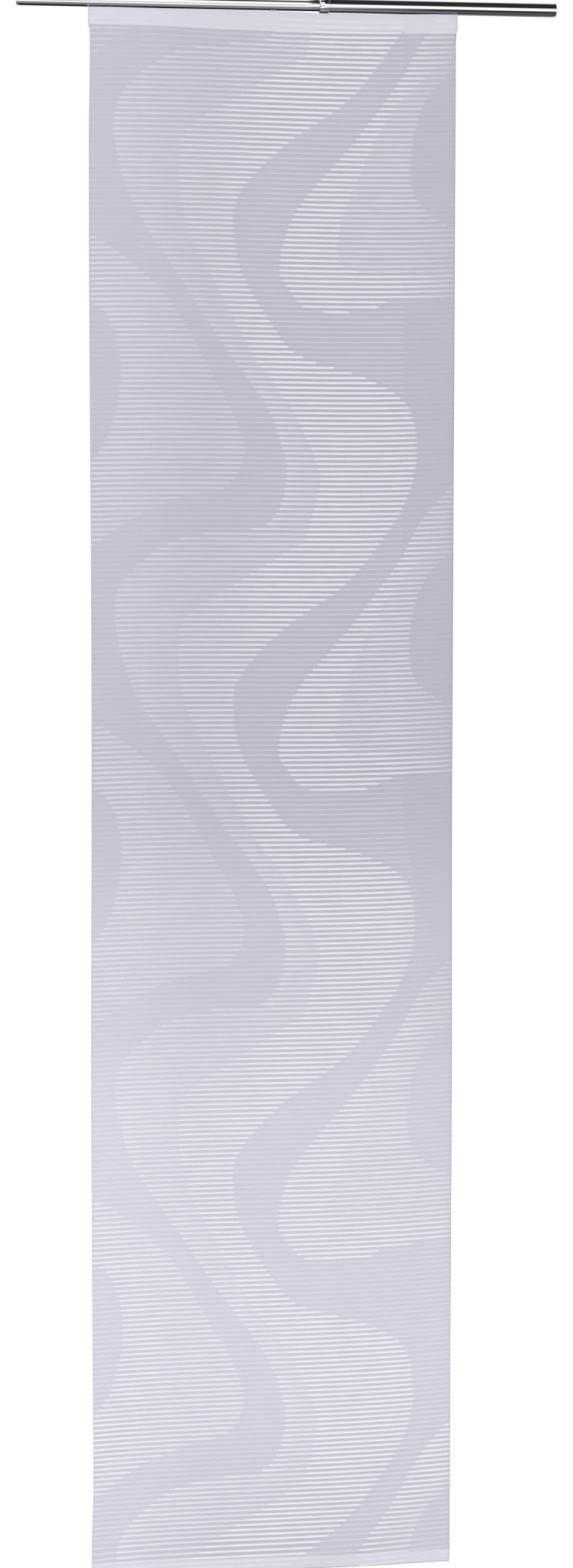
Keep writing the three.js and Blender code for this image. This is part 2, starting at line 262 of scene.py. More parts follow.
def row_stretches(drop):
    """All stretches of a row, from the left edge to the right one, in millimetres."""
    cross = {name: crossings(edge, drop) for name, edge in borders.items()}
    middle_end = cross["middle_right"][0]
    left = inside(cross["left_lobe"] + cross["left_lens"], -BEYOND)
    right = inside(cross["right_lobe"] + cross["right_lens"], BEYOND)
    ends = [edge_at(side, cloth_top - drop * MM) / MM for side in (-1, 1)]
    reach = PLAIN_REACH + (PLAIN_REACH_BELOW - PLAIN_REACH) * smooth(*REACH_OVER, drop)
    faint_left = FAINT_LEFT if drop < FAINT_LEFT_ABOVE else 1.0
    faint_right = FAINT_RIGHT if drop < FAINT_RIGHT_ABOVE else 1.0
    stretches = [(*ends, 0.0)]
    for areas, strength in (
        ([(-reach, reach)], PLAIN_MIDDLE),
        ([(cross["middle_left"][0], middle_end)], MIDDLE_QUIET),
        ([(cross["middle_bright"][0], middle_end)], MIDDLE_BRIGHT),
        (left, LEFT_QUIET * faint_left),
        (overlap(left, inside(cross["left_bright"], -BEYOND)), LEFT_BRIGHT * faint_left),
        (right, RIGHT_BRIGHT),
        (overlap(right, inside(cross["right_quiet"], BEYOND)), RIGHT_QUIET * faint_right),
    ):
        stretches = split(stretches, areas, strength)
    return [s for s in stretches if s[1] - s[0] > SHORTEST_STRETCH or s[2] <= PLAIN_MIDDLE]


def strength_at(stretches, x):
    return next((strength for start, end, strength in stretches if start <= x <= end), 0.0)


# %% [markdown]
# Woven rows are never quite square to the cloth's edges. These lean one way at the top, the other way at
# the bottom, and their ends droop, so a row is bowed by up to 9 mm. The pattern stays where it is.

# %% Lie of the rows
ROW_OFFSET, ROW_CREEP = 2.4, -2.2
TILT_AT_TOP, TILT_AT_BOTTOM = 5.2, -4.2
END_DROOP = -5.1
ARCH = -1.3
FOOT_DROOP, FOOT_TILT, FOOT_OVER = 1.4, 1.4, (0.88, 1.0)
MOST_BOW = 9


def weft_bow(x, drop):
    """How much lower than its level a row lies at x, all in millimetres."""
    across = x / (cloth_half / MM)
    down = drop / (cloth_drop / MM)
    tilt = TILT_AT_TOP + (TILT_AT_BOTTOM - TILT_AT_TOP) * down
    foot = smooth(*FOOT_OVER, down) * (FOOT_DROOP + FOOT_TILT * across)
    bow = END_DROOP * across**3 + ARCH * across**2
    return ROW_OFFSET + ROW_CREEP * down + tilt * across + bow + foot


row_count = math.ceil((cloth_drop / MM + MOST_BOW - FIRST_RIB) / RIB_PITCH)
row_drops = [FIRST_RIB + RIB_PITCH * k for k in range(-ROWS_ON_HEADER, row_count)]
rows = {drop: row_stretches(drop) for drop in row_drops}
print(len(rows), "rows,", sum(len(r) for r in rows.values()), "stretches")

# %% [markdown]
# ## How the cloth hangs
# A weighted panel hangs almost flat. It still has a slow wave of a millimetre or so, its header was sewn
# slightly askew, and its hem sags towards the left. A few functions give that, and everything that is
# woven or sewn on the cloth asks them for its place.

# %% Relief of the hanging cloth
SLOW_WAVE, SLOW_ACROSS, SLOW_DOWN, SLOW_SLICE = 0.8 * MM, 2.3, 1.1, 3.7
EDGE_WAVE, EDGE_ACROSS, EDGE_DOWN, EDGE_SLICE = 1.1 * MM, 5.0, 6.5, 1.3
FREE_OVER, FREE_ABOVE_HEM_OVER = (0.0, 0.27), (0.0, 0.2)
SLACK_LEFT, SLACK_LEFT_OVER = 0.33, (-0.4, 0.1)
SLACK_RIGHT, SLACK_RIGHT_OVER = 0.5, (0.65, 1.05)
TAUT_OVER = (1.3, 2.1)
SLACK_BELOW, SLACK_COMES_OVER, SLACK_GOES_OVER = 0.14, (1.2, 1.6), (2.0, 2.3)
TOP_RISE = 1.6 * MM
TOP_RISE_LEFT, TOP_LEFT_OVER = 1.4 * MM, (-0.26, -0.02)
TOP_RISE_RIGHT, TOP_RIGHT_OVER = 0.6 * MM, (0.22, 0.27)
COLLAR_DIP, COLLAR_DIP_OVER, COLLAR_DIP_ENDS_OVER = 1.6 * MM, (0.015, 0.07), (0.14, 0.25)
SEAM_RISE_LEFT, SEAM_LEFT_OVER = 3.4 * MM, (-0.24, -0.06)
SEAM_DIP, SEAM_DIP_OVER, SEAM_DIP_ENDS_OVER = 1.5 * MM, (-0.16, 0.0), (0.08, 0.27)
BELOW_SEAM_OVER = (0.0, 40 * MM)
HEM_SAG, HEM_SAG_OVER, HEM_SAG_ABOVE = 3.4 * MM, (0.13, 0.28), 30 * MM
hem_start = cloth_bottom + BOTTOM_HEM


def relief(x, z):
    """How far the cloth stands behind its flat plane at a place."""
    free = smooth(*FREE_OVER, cloth_top - z) * smooth(*FREE_ABOVE_HEM_OVER, z - hem_start)
    side = (x / cloth_half) ** 4
    slow = noise.noise(Vector((x * SLOW_ACROSS, z * SLOW_DOWN, SLOW_SLICE)))
    edge = noise.noise(Vector((math.copysign(EDGE_ACROSS, x), z * EDGE_DOWN, EDGE_SLICE)))
    return free * (slow * SLOW_WAVE + edge * EDGE_WAVE * side)


def vividness(x, z):
    """How much a rib stands out: less towards both edges, but as much as anywhere at the foot."""
    across = x / cloth_half
    slack = SLACK_LEFT * (1 - smooth(*SLACK_LEFT_OVER, across))
    slack += SLACK_RIGHT * smooth(*SLACK_RIGHT_OVER, across)
    drop = cloth_top - z
    half_way = smooth(*SLACK_COMES_OVER, drop) * (1 - smooth(*SLACK_GOES_OVER, drop))
    return 1 - slack * (1 - smooth(*TAUT_OVER, drop)) - SLACK_BELOW * half_way


def top_rise(x):
    """How much higher than its level the header's upper edge was folded at x."""
    left = TOP_RISE_LEFT * (1 - smooth(*TOP_LEFT_OVER, x))
    below_collar = COLLAR_DIP * smooth(*COLLAR_DIP_OVER, x) * (1 - smooth(*COLLAR_DIP_ENDS_OVER, x))
    return TOP_RISE + left + TOP_RISE_RIGHT * smooth(*TOP_RIGHT_OVER, x) - below_collar


def seam_rise(x):
    """How much higher than its level the header's seam was sewn at x."""
    rise = SEAM_RISE_LEFT * (1 - smooth(*SEAM_LEFT_OVER, x))
    dip = SEAM_DIP * smooth(*SEAM_DIP_OVER, x) * (1 - smooth(*SEAM_DIP_ENDS_OVER, x))
    return rise - dip


# %% [markdown]
# ## From bmesh to a piece
# Every piece ends the same way: the bmesh becomes a mesh, its faces are shaded smooth apart from sharp
# corners, and its object rides on one of the model's bodies.

# %% Finish a piece
SHARP = math.radians(35)


def finish_piece(name, bm, body, stands_for=(), sharp=SHARP, recalculate=True):
    if recalculate:
        bmesh.ops.recalc_face_normals(bm, faces=bm.faces)
    mesh = bpy.data.meshes.new(name)
    bm.to_mesh(mesh)
    bm.free()
    mesh.shade_smooth()
    mesh.set_sharp_from_angle(angle=sharp)
    piece = add_object(name, mesh)
    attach(piece, body)
    if stands_for:
        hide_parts(*stands_for)
    print(name, len(mesh.polygons), "faces")
    return piece


def grid(bm, columns, lines):
    """A flat grid, as a list of lines of its vertices."""
    made = bmesh.ops.create_grid(bm, x_segments=columns, y_segments=lines, size=0.5)["verts"]
    table = [[None] * (columns + 1) for _ in range(lines + 1)]
    for vertex in made:
        table[round((vertex.co.y + 0.5) * lines)][round((vertex.co.x + 0.5) * columns)] = vertex
    return table


# %% [markdown]
# ## The sheet
# The cloth is one length of fabric. It starts behind the header, folds over the top, runs down the front,
# turns under the weight bar and ends behind the bottom hem. A grid whose lines follow that path is
# simpler than separate layers, and its folds are round of themselves. The sheet also carries four
# attributes: how strongly a place is ribbed, and whether it lies double, at a selvedge or underneath.
# The ground material paints a shade where the sheet lies underneath, at the hem's lower turn.

# %% Path of the sheet
FOLD_STEPS = 6
TUNNEL_WALL_GAP = 0.35 * MM
LAYER_GAP = 0.65 * MM
SEAM_EDGE = 0.6 * MM
TUNNEL_CLOSES = 4 * MM
TURN_BEHIND, TURN_BELOW = 1.2 * MM, 0.8 * MM
TURN_END_ABOVE = 0.4 * MM
header_end = cloth_top - HEADER_DROP


def sheet_path():
    """(y, z, doubled) down the middle of the fabric, from behind the header to behind the hem."""
    fold = LAYER_GAP / 2
    path = [(front_y + LAYER_GAP, cloth_top - HEADER_DROP * k / 4, 1.0) for k in (4, 3, 2, 1)]
    for step in range(FOLD_STEPS + 1):
        angle = math.pi * step / FOLD_STEPS
        path.append((
            front_y + fold + fold * math.cos(angle),
            cloth_top - SHEET_THICK / 2 - fold + fold * math.sin(angle),
            1.0,
        ))
    path += [(front_y, cloth_top - HEADER_DROP * k / 6, 1.0) for k in range(1, 6)]
    path += [(front_y, header_end + SEAM_EDGE, 1.0), (front_y, header_end - SEAM_EDGE, 0.0)]
    heights = [cloth_top - drop * MM for drop in row_drops if HEADER_DROP + SEAM_EDGE * 2 < drop * MM]
    path += [(front_y, z, 0.0) for z in heights if z > hem_start + SEAM_EDGE * 2]
    path += [(front_y, hem_start + SEAM_EDGE, 0.0), (front_y, hem_start - SEAM_EDGE, 1.0)]
    tunnel_back = bar_high.y + TUNNEL_WALL_GAP + SHEET_THICK / 2
    radius = (tunnel_back - front_y) / 2
    low = cloth_bottom + radius + SHEET_THICK / 2
    path += [(front_y, hem_start + (low - hem_start) * k / 4, 1.0) for k in (1, 2, 3)]
    for step in range(2 * FOLD_STEPS + 1):
        angle = math.pi * step / (2 * FOLD_STEPS)
        path.append((front_y + radius - radius * math.cos(angle), low - radius * math.sin(angle), 1.0))
    path += [(tunnel_back, low + (hem_start - TUNNEL_CLOSES - low) * k / 3, 1.0) for k in (1, 2, 3)]
    path.append((front_y + TURN_BEHIND, hem_start - TURN_BELOW, 1.0))
    path.append((front_y + LAYER_GAP, hem_start + TURN_END_ABOVE, 1.0))
    return path


path = sheet_path()
print(len(path), "lines down the sheet")

# %% Weave the sheet
SELVEDGE, SELVEDGE_INNER = 4.5 * MM, 0.8
HEM_TURN = 1.6 * MM
SHEET_COLUMNS = 112
SIDE_HEM_LINES, SIDE_HEM_GAP = 150, 0.1 * MM


def column_shares():
    """Where the sheet's columns stand, from 0 at its left edge to 1, closer together at the selvedges."""
    narrow = SELVEDGE / (2 * cloth_half)
    inner = [narrow + (1 - 2 * narrow) * k / (SHEET_COLUMNS - 4) for k in range(SHEET_COLUMNS - 3)]
    return [0.0, narrow * SELVEDGE_INNER] + inner + [1 - narrow * SELVEDGE_INNER, 1.0]


def nearest_row(x, z):
    drop = (cloth_top - z) / MM
    level = drop - weft_bow(x / MM, drop)
    index = round((level - row_drops[0]) / RIB_PITCH)
    return row_drops[max(0, min(len(row_drops) - 1, index))]


def lift_at(x, z):
    """How far a place is raised by the header's crooked fold and seam, or lowered by the sagging hem."""
    if z > header_end:
        share = (z - header_end) / HEADER_DROP
        return seam_rise(x) * (1 - share) + top_rise(x) * share
    sag = HEM_SAG * (1 - smooth(*HEM_SAG_OVER, x)) * (1 - smooth(0, HEM_SAG_ABOVE, z - hem_start))
    return seam_rise(x) * (1 - smooth(*BELOW_SEAM_OVER, header_end - z)) - sag


def make_sheet():
    bm = bmesh.new()
    ribbed, doubled, selvedge, under = (
        bm.verts.layers.float.new(name) for name in ("ribbed", "doubled", "selvedge", "under")
    )
    shares = column_shares()
    outer = shares[:2] + shares[-2:]
    for line, (y, z, layers) in zip(grid(bm, SHEET_COLUMNS, len(path) - 1), path):
        left, right = edge_at(-1, z), edge_at(1, z)
        for share, vertex in zip(shares, line):
            x = left + (right - left) * share
            vertex.co = (x, y + relief(x, z), z + lift_at(x, z))
            strength = 0.0 if layers else strength_at(rows[nearest_row(x, z)], x / MM)
            vertex[ribbed] = strength * max(0.0, 2 * vividness(x, z) - 1)
            vertex[doubled] = layers
            # The underside of the hem's turn is marked for a painted shade in the ground material.
            vertex[under] = float(z < cloth_bottom + HEM_TURN)
            vertex[selvedge] = float(share in outer)
    for side in (-1, 1):
        for index, line in enumerate(grid(bm, 2, SIDE_HEM_LINES)):
            z = header_end + (hem_start - header_end) * index / SIDE_HEM_LINES
            for column, vertex in enumerate(line):
                x = edge_at(side, z) - side * SIDE_HEM * column / 2
                vertex.co = (x, front_y + SHEET_THICK + SIDE_HEM_GAP + relief(x, z), z)
                vertex[doubled] = 1.0
    return finish_piece("panel_cloth", bm, "panel", ["curtain_cloth"], recalculate=False)


panel_cloth = make_sheet()
thickness = panel_cloth.modifiers.new("thickness", "SOLIDIFY")
thickness.thickness = SHEET_THICK
thickness.offset = 0

# %% [markdown]
# ## The ribs
# A rib is a bundle of thicker yarn that lies on the sheet, 5 mm wide where it is ribbed and a faint line
# where the ground is plain. Each row is one closed bar: a grid of five strips is wrapped round the
# section, its seam and its two ends are merged, and smooth shading makes it round. Sections stand close
# together only where a rib swells or fades, so that 300 rows stay light.

# %% Sections along a row
PLAIN_SIZE = (3.2 * MM, 0.08 * MM)
QUIET_SIZE = (5.0 * MM, 0.28 * MM)
BRIGHT_SIZE = (5.2 * MM, RIB_HEIGHT)
RING_STRIPS, MERGE = 5, 0.002 * MM
SHOULDER = 0.3
BACK_SHARE = 0.6
HEIGHT_LOST_ON_DOUBLE = 0.4
SWELL, SWELL_ACROSS, SWELL_DOWN, SWELL_SLICE = 0.14, 150, 400, 5.0
STRAY, STRAY_ACROSS, STRAY_DOWN = 0.3 * MM, 21, 40
BARE_FOOT, BARE_TOP = 3 * MM, 2 * MM
LONGEST_STEP = 18
FADE = 2.2
END_INSET = 1.2
LEAD_STEPS = ((0, 0.72), (11, 0.62), (26, 0.0))


def row_sections(stretches):
    """(x, strength) along a row in millimetres, with close pairs where the strength changes."""
    sections = []
    for index, (start, end, strength) in enumerate(stretches):
        first = start + (END_INSET if index == 0 else FADE)
        last = end - (END_INSET if index == len(stretches) - 1 else FADE)
        if last <= first:
            sections.append(((start + end) / 2, strength))
            continue
        lead = []
        if strength == MIDDLE_QUIET and index and last - first > LEAD_STEPS[-1][0]:
            lead = [(first + along, max(strength, tone)) for along, tone in LEAD_STEPS]
            first = lead[-1][0]
            lead = lead[:-1]
        steps = max(1, math.ceil((last - first) / LONGEST_STEP))
        sections += lead + [(first + (last - first) * k / steps, strength) for k in range(steps + 1)]
    return sections


def rib_size(strength):
    """Width and height of a rib of this strength."""
    if strength < MIDDLE_QUIET:
        share = strength / MIDDLE_QUIET
        sizes = zip(PLAIN_SIZE, QUIET_SIZE)
    else:
        share = (strength - MIDDLE_QUIET) / (1 - MIDDLE_QUIET)
        sizes = zip(QUIET_SIZE, BRIGHT_SIZE)
    return [small + (large - small) * share for small, large in sizes]


def wrap_row(bm, layers, drop, sections):
    """One closed bar of yarn across the cloth. Its ends shrink to points."""
    stations = []
    for x_mm, strength in sections:
        z = cloth_top - (drop + weft_bow(x_mm, drop)) * MM
        if cloth_bottom + BARE_FOOT < z < cloth_top - BARE_TOP:
            stations.append((x_mm, strength, z, 1.0))
    if len(stations) < 3:
        return
    first, last = stations[0], stations[-1]
    stations.insert(0, (first[0] - END_INSET / 2, 0.0, first[2], 0.0))
    stations.append((last[0] + END_INSET / 2, 0.0, last[2], 0.0))
    table = grid(bm, len(stations) - 1, RING_STRIPS)
    for index, (x_mm, strength, z, size) in enumerate(stations):
        x = x_mm * MM
        swell = 1 + SWELL * noise.noise(Vector((x * SWELL_ACROSS, z * SWELL_DOWN, SWELL_SLICE)))
        stray = STRAY * noise.noise(Vector((x * STRAY_ACROSS, z * STRAY_DOWN, 0.0)))
        layered = float(z > header_end or z < hem_start)
        width, height = (measure * swell * size for measure in rib_size(strength))
        stands_out = vividness(x, z)
        height *= stands_out * (1 - HEIGHT_LOST_ON_DOUBLE * layered)
        middle_z = z + lift_at(x, z) + stray
        y = front_y + relief(x, z)
        front = y - SHEET_THICK / 2
        behind = y + SHEET_THICK / 2 + height * BACK_SHARE
        crest = front - height
        ring = (
            (behind, 0.0, 1.0), (front, -0.5, 1.0), (crest, -0.5 * SHOULDER, 0.0),
            (crest, 0.5 * SHOULDER, 0.0), (front, 0.5, 1.0), (behind, 0.0, 1.0),
        )
        # on_rim marks the rib's rims, which the rib material paints down to the ground's colour as a
        # painted shade.
        for line, (ring_y, ring_z, on_rim) in zip(table, ring):
            vertex = line[index]
            vertex.co = (x, ring_y if size else y, middle_z + ring_z * width)
            for layer, value in zip(layers, (strength, on_rim, layered, stands_out)):
                vertex[layer] = value


def make_ribs():
    bm = bmesh.new()
    layers = [bm.verts.layers.float.new(name) for name in ("tone", "rim", "doubled", "vivid")]
    for drop, stretches in rows.items():
        wrap_row(bm, layers, drop, row_sections(stretches))
    bmesh.ops.remove_doubles(bm, verts=bm.verts, dist=MERGE)
    return finish_piece("rib_yarns", bm, "panel", sharp=math.radians(60))


rib_yarns = make_ribs()

# %% [markdown]
# ## The rod
# The rod is a tube inside a tube, each slotted along its underside. A section of the wall is spun round
# the rod's axis, all but the slot, and the two open sides are filled. The collar is the same spin of a
# section with a short taper and a flat barrel, and the end plugs are full turns.

# %% Spin helpers
ROUND_STEPS = 144
TRACK_SLOT = 6 * MM
LIP_OVER = (0.85, 0.88)
BORE_MARGIN = 0.05 * MM


def profile_edges(bm, points, closed=True):
    """Edges through (x, radius) points, drawn straight below the rod's axis."""
    verts = [bm.verts.new((x, 0, -radius)) for x, radius in points]
    pairs = list(zip(verts, verts[1:])) + ([(verts[-1], verts[0])] if closed else [])
    return verts, [bm.edges.new(pair) for pair in pairs]


def slotted_turn(bm, points, radius, lip_shade):
    """A section spun round the rod's axis, with the track's slot left open at the bottom."""
    bare_steel_and_painted_shade = bm.verts.layers.float.new("bare_steel_and_painted_shade")
    verts, edges = profile_edges(bm, points)
    half_gap = math.asin(TRACK_SLOT / 2 / radius)
    bmesh.ops.rotate(bm, verts=verts, cent=(0, 0, 0), matrix=Matrix.Rotation(half_gap, 3, "X"))
    bmesh.ops.spin(
        bm, geom=verts + edges, cent=(0, 0, 0), axis=(1, 0, 0),
        angle=2 * math.pi - 2 * half_gap, steps=ROUND_STEPS,
    )
    open_edges = [edge for edge in bm.edges if edge.is_boundary]
    bmesh.ops.holes_fill(bm, edges=open_edges, sides=0)
    # Inside the bore the colour is bare steel. At the slot's lips the same dark is a painted shade, for
    # the dark gap that the lips reflect, weakened by lip_shade.
    bore = min(point[1] for point in points) + BORE_MARGIN
    for vertex in bm.verts:
        reach = math.hypot(vertex.co.y, vertex.co.z)
        lip = smooth(*LIP_OVER, -vertex.co.z / reach)
        vertex[bare_steel_and_painted_shade] = 1.0 if reach < bore else lip_shade * lip


def full_turn(bm, points):
    verts, edges = profile_edges(bm, points, closed=False)
    bmesh.ops.spin(
        bm, geom=verts + edges, cent=(0, 0, 0), axis=(1, 0, 0),
        angle=2 * math.pi, steps=ROUND_STEPS, use_merge=True,
    )
    bmesh.ops.remove_doubles(bm, verts=bm.verts, dist=0.001 * MM)


# %% Tubes, collar and end plugs
TUBE_WALL = 1 * MM
TUBE_EDGE = 0.2 * MM
SHADE_OF_WIDE_LIP = 0.6
COLLAR_PLAY, COLLAR_EDGE, COLLAR_LIP = 0.3 * MM, 0.3 * MM, 1 * MM
TAPER_START, TAPER_END = 1.6 * MM, 2.6 * MM
PLUG_PLAY, PLUG_ROUND, PLUG_FLANGE = 0.3 * MM, 0.3 * MM, 3 * MM
PLUG_STEPS = 6


def make_tube(name, node, body, lip_shade):
    low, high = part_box(node)
    outer = high.z
    inner = outer - TUBE_WALL
    points = [
        (low.x, inner), (low.x, outer - TUBE_EDGE), (low.x + TUBE_EDGE, outer),
        (high.x - TUBE_EDGE, outer), (high.x, outer - TUBE_EDGE), (high.x, inner),
    ]
    bm = bmesh.new()
    slotted_turn(bm, points, outer - TUBE_WALL / 2, lip_shade)
    return finish_piece(name, bm, body, [node])


def make_collar():
    low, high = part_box("rod_collar")
    mouth_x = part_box("outer_tube")[0].x - COLLAR_PLAY
    slim_r, wide_r = (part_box(node)[1].z for node in ("inner_tube", "outer_tube"))
    slim_bore, wide_bore, top = slim_r + COLLAR_PLAY, wide_r + COLLAR_PLAY, high.z
    points = [
        (low.x, slim_bore), (low.x, slim_r + COLLAR_LIP - COLLAR_EDGE),
        (low.x + COLLAR_EDGE, slim_r + COLLAR_LIP), (low.x + TAPER_START, top - COLLAR_EDGE),
        (low.x + TAPER_END, top), (mouth_x, top), (high.x - COLLAR_EDGE, top),
        (high.x, top - COLLAR_EDGE), (high.x, wide_bore), (mouth_x, wide_bore), (mouth_x, slim_bore),
    ]
    bm = bmesh.new()
    slotted_turn(bm, points, wide_r, SHADE_OF_WIDE_LIP)
    return finish_piece("collar", bm, "rod", ["rod_collar"], sharp=math.radians(25))


def make_end_plug(name, node, body, out):
    low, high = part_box(node)
    tube_r = high.z
    plug_r = tube_r - TUBE_WALL - PLUG_PLAY
    start, face = (low.x, high.x) if out > 0 else (high.x, low.x)
    flange_x = face - out * PLUG_FLANGE
    points = [(start, 0), (start, plug_r), (flange_x, plug_r), (flange_x, tube_r)]
    for step in range(PLUG_STEPS + 1):
        angle = math.pi / 2 * step / PLUG_STEPS
        points.append((
            face - out * PLUG_ROUND * (1 - math.sin(angle)),
            tube_r - PLUG_ROUND * (1 - math.cos(angle)),
        ))
    points.append((face, 0))
    bm = bmesh.new()
    full_turn(bm, points)
    return finish_piece(name, bm, body, [node])


wide_tube = make_tube("wide_tube", "outer_tube", "rod", SHADE_OF_WIDE_LIP)
slim_tube = make_tube("slim_tube", "inner_tube", "rod_inner", 1.0)
collar = make_collar()
plug_right = make_end_plug("plug_right", "end_cap_right", "rod", 1)
plug_left = make_end_plug("plug_left", "end_cap_left", "rod_inner", -1)

# %% [markdown]
# ## Moulded and extruded parts
# The gliders, the rail with its caps and the weight bar already have the right form in the model, but
# their edges are knife-sharp. A merged copy with a small bevel catches the light as a moulding does.

# %% Bevelled copies


def bevelled_copy(name, node, body, width):
    bm = bmesh.new()
    bm.from_mesh(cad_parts[node].data)
    bmesh.ops.remove_doubles(bm, verts=bm.verts, dist=0.001 * MM)
    bmesh.ops.dissolve_limit(bm, angle_limit=math.radians(1), verts=bm.verts, edges=bm.edges)
    piece = finish_piece(name, bm, body, [node])
    bevel = piece.modifiers.new("edge", "BEVEL")
    bevel.width = width
    bevel.segments = 2
    bevel.limit_method = "ANGLE"
    bevel.angle_limit = SHARP
    return piece


moulded = [
    bevelled_copy(f"moulded_{node}", node, "gliders", 0.25 * MM)
    for node in ("glider_left", "glider_middle", "glider_right")
]
rail = bevelled_copy("rail_profile", "carrier_rail", "panel", 0.12 * MM)
rail_caps = [
    bevelled_copy(f"moulded_{node}", node, "panel", 0.2 * MM)
    for node in ("carrier_cap_left", "carrier_cap_right")
]
hem_weight = bevelled_copy("hem_weight", "weight_bar", "panel", 0.15 * MM)

# %% [markdown]
# ## Node helpers
# A few small helpers place a node and join its sockets. Effects that several materials share are node
# groups with named inputs and outputs.

# %% Helpers for materials
WHITE = (1.0, 1.0, 1.0, 1.0)
MIX_SOCKETS = (0, 6, 7)


def linear(v):
    """One channel as it looks on screen, 0 to 255, in the linear value that a shader wants."""
    v /= 255
    return v / 12.92 if v <= 0.04045 else ((v + 0.055) / 1.055) ** 2.4


def srgb(r, g, b):
    return (linear(r), linear(g), linear(b), 1.0)


def join(tree, value, socket):
    """Join an output to a socket, or give the socket a plain value."""
    if isinstance(value, bpy.types.NodeSocket):
        tree.links.new(value, socket)
    else:
        socket.default_value = value


def feed(tree, node, **sockets):
    """Give a node's inputs their values, or the outputs that drive them, by name."""
    for name, value in sockets.items():
        join(tree, value, node.inputs[name.replace("_", " ")])
    return node


def place(tree, kind, **sockets):
    return feed(tree, tree.nodes.new(kind), **sockets)


def calc(tree, operation, *values):
    made = tree.nodes.new("ShaderNodeMath")
    made.operation = operation
    for value, socket in zip(values, made.inputs):
        join(tree, value, socket)
    return made.outputs[0]


def mix(tree, factor, first, second, blend="MIX"):
    made = tree.nodes.new("ShaderNodeMix")
    made.data_type = "RGBA"
    made.blend_type = blend
    for value, index in zip((factor, first, second), MIX_SOCKETS):
        join(tree, value, made.inputs[index])
    return made.outputs[2]


def mix_shader(tree, factor, first, second):
    made = tree.nodes.new("ShaderNodeMixShader")
    for value, socket in zip((factor, first, second), made.inputs):
        join(tree, value, socket)
    return made.outputs[0]


def colour_ramp(tree, position, stops, interpolation="LINEAR"):
    """A ramp through (spot, colour) stops, read at a position from 0 to 1."""
    made = place(tree, "ShaderNodeValToRGB", Fac=position)
    made.color_ramp.interpolation = interpolation
    elements = made.color_ramp.elements
    elements.remove(elements[-1])
    for index, (spot, colour) in enumerate(stops):
        stop = elements.new(spot) if index else elements[0]
        stop.position = spot
        stop.color = colour
    return made.outputs["Color"]


def new_group(name, inputs, outputs):
    """An empty node group with float inputs {name: default} and float outputs."""
    group = bpy.data.node_groups.new(name, "ShaderNodeTree")
    for key, value in inputs.items():
        socket = group.interface.new_socket(key, in_out="INPUT", socket_type="NodeSocketFloat")
        socket.default_value = value
    for key in outputs:
        group.interface.new_socket(key, in_out="OUTPUT", socket_type="NodeSocketFloat")
    return group, group.nodes.new("NodeGroupInput").outputs, group.nodes.new("NodeGroupOutput")


def use_group(tree, group, **values):
    made = tree.nodes.new("ShaderNodeGroup")
    made.node_tree = group
    return feed(tree, made, **values).outputs


def new_material(name, roughness, metallic=0.0):
    material = bpy.data.materials.new(name)
    material.use_nodes = True
    tree = material.node_tree
    shader = feed(tree, tree.nodes["Principled BSDF"], Roughness=roughness, Metallic=metallic)
    return material, tree, shader


def attribute(tree, name):
    made = tree.nodes.new("ShaderNodeAttribute")
    made.attribute_name = name
    return made.outputs["Fac"]


def axes_of(tree, coordinates):
    """The X, Y and Z of a place, in coordinates of this kind."""
    coords = tree.nodes.new("ShaderNodeTexCoord").outputs[coordinates]
    return place(tree, "ShaderNodeSeparateXYZ", Vector=coords).outputs


def shaded(tree, colour, shade):
    """A colour multiplied by a grey value."""
    return mix(tree, 1.0, colour, shade, "MULTIPLY")


def shade_from(tree, value, mean, depth):
    """A shade that swings round 1 as a value swings round its mean."""
    return calc(tree, "MULTIPLY_ADD", calc(tree, "SUBTRACT", value, mean), depth, 1.0)


def bump_from(tree, height, strength, distance):
    bump = place(tree, "ShaderNodeBump", Strength=strength, Distance=distance, Height=height)
    return bump.outputs["Normal"]


def stretched_noise(tree, scale, detail):
    """Noise on the piece's own coordinates, drawn out along an axis by unequal scales."""
    coords = tree.nodes.new("ShaderNodeTexCoord").outputs["Object"]
    stretched = place(tree, "ShaderNodeMapping", Vector=coords, Scale=scale).outputs["Vector"]
    return place(tree, "ShaderNodeTexNoise", Vector=stretched, Scale=1.0, Detail=detail).outputs["Fac"]


# %% [markdown]
# Three effects are shared. Thread grain is a fine crossing of threads, which shades the fabric and
# roughens its normal. Mottle is a slow unevenness of tone, because no two metres of cloth are dyed alike.
# The third gives painted light: how much light from the pale floor behind the sheer cloth is painted into
# a place, by its height, with some more painted light at the left side.

# %% Shared effects
SLUBS = (90.0, 90.0, 300.0)
MEAN_NOISE, MEAN_GRAIN = 0.5, 0.64
# The share of painted light from behind the cloth, by its height.
PAINTED_BACKLIGHT_STOPS = ((0.0, 0.15), (0.3, 0.05), (0.48, 0.0), (0.6, 0.43), (0.72, 0.8), (0.87, 1.0), (1.0, 0.78))
LEFT_SIDE_FROM, LEFT_SIDE_FULL = -0.1, -0.26


def build_thread_grain():
    group, given, out = new_group(
        "thread_grain", {"Threads per metre": 1100.0, "Depth": 0.5}, ("Shade", "Height"),
    )
    parts = axes_of(group, "Object")
    waves = []
    for axis in ("X", "Z"):
        turns = calc(group, "MULTIPLY", parts[axis], given["Threads per metre"])
        angle = calc(group, "MULTIPLY", turns, math.pi)
        waves.append(calc(group, "ABSOLUTE", calc(group, "SINE", angle)))
    weave = calc(group, "MULTIPLY", calc(group, "ADD", *waves), 0.5)
    slub = stretched_noise(group, SLUBS, detail=2.0)
    height = calc(group, "ADD", weave, calc(group, "SUBTRACT", slub, MEAN_NOISE))
    feed(group, out, Shade=shade_from(group, height, MEAN_GRAIN, given["Depth"]), Height=height)
    return group


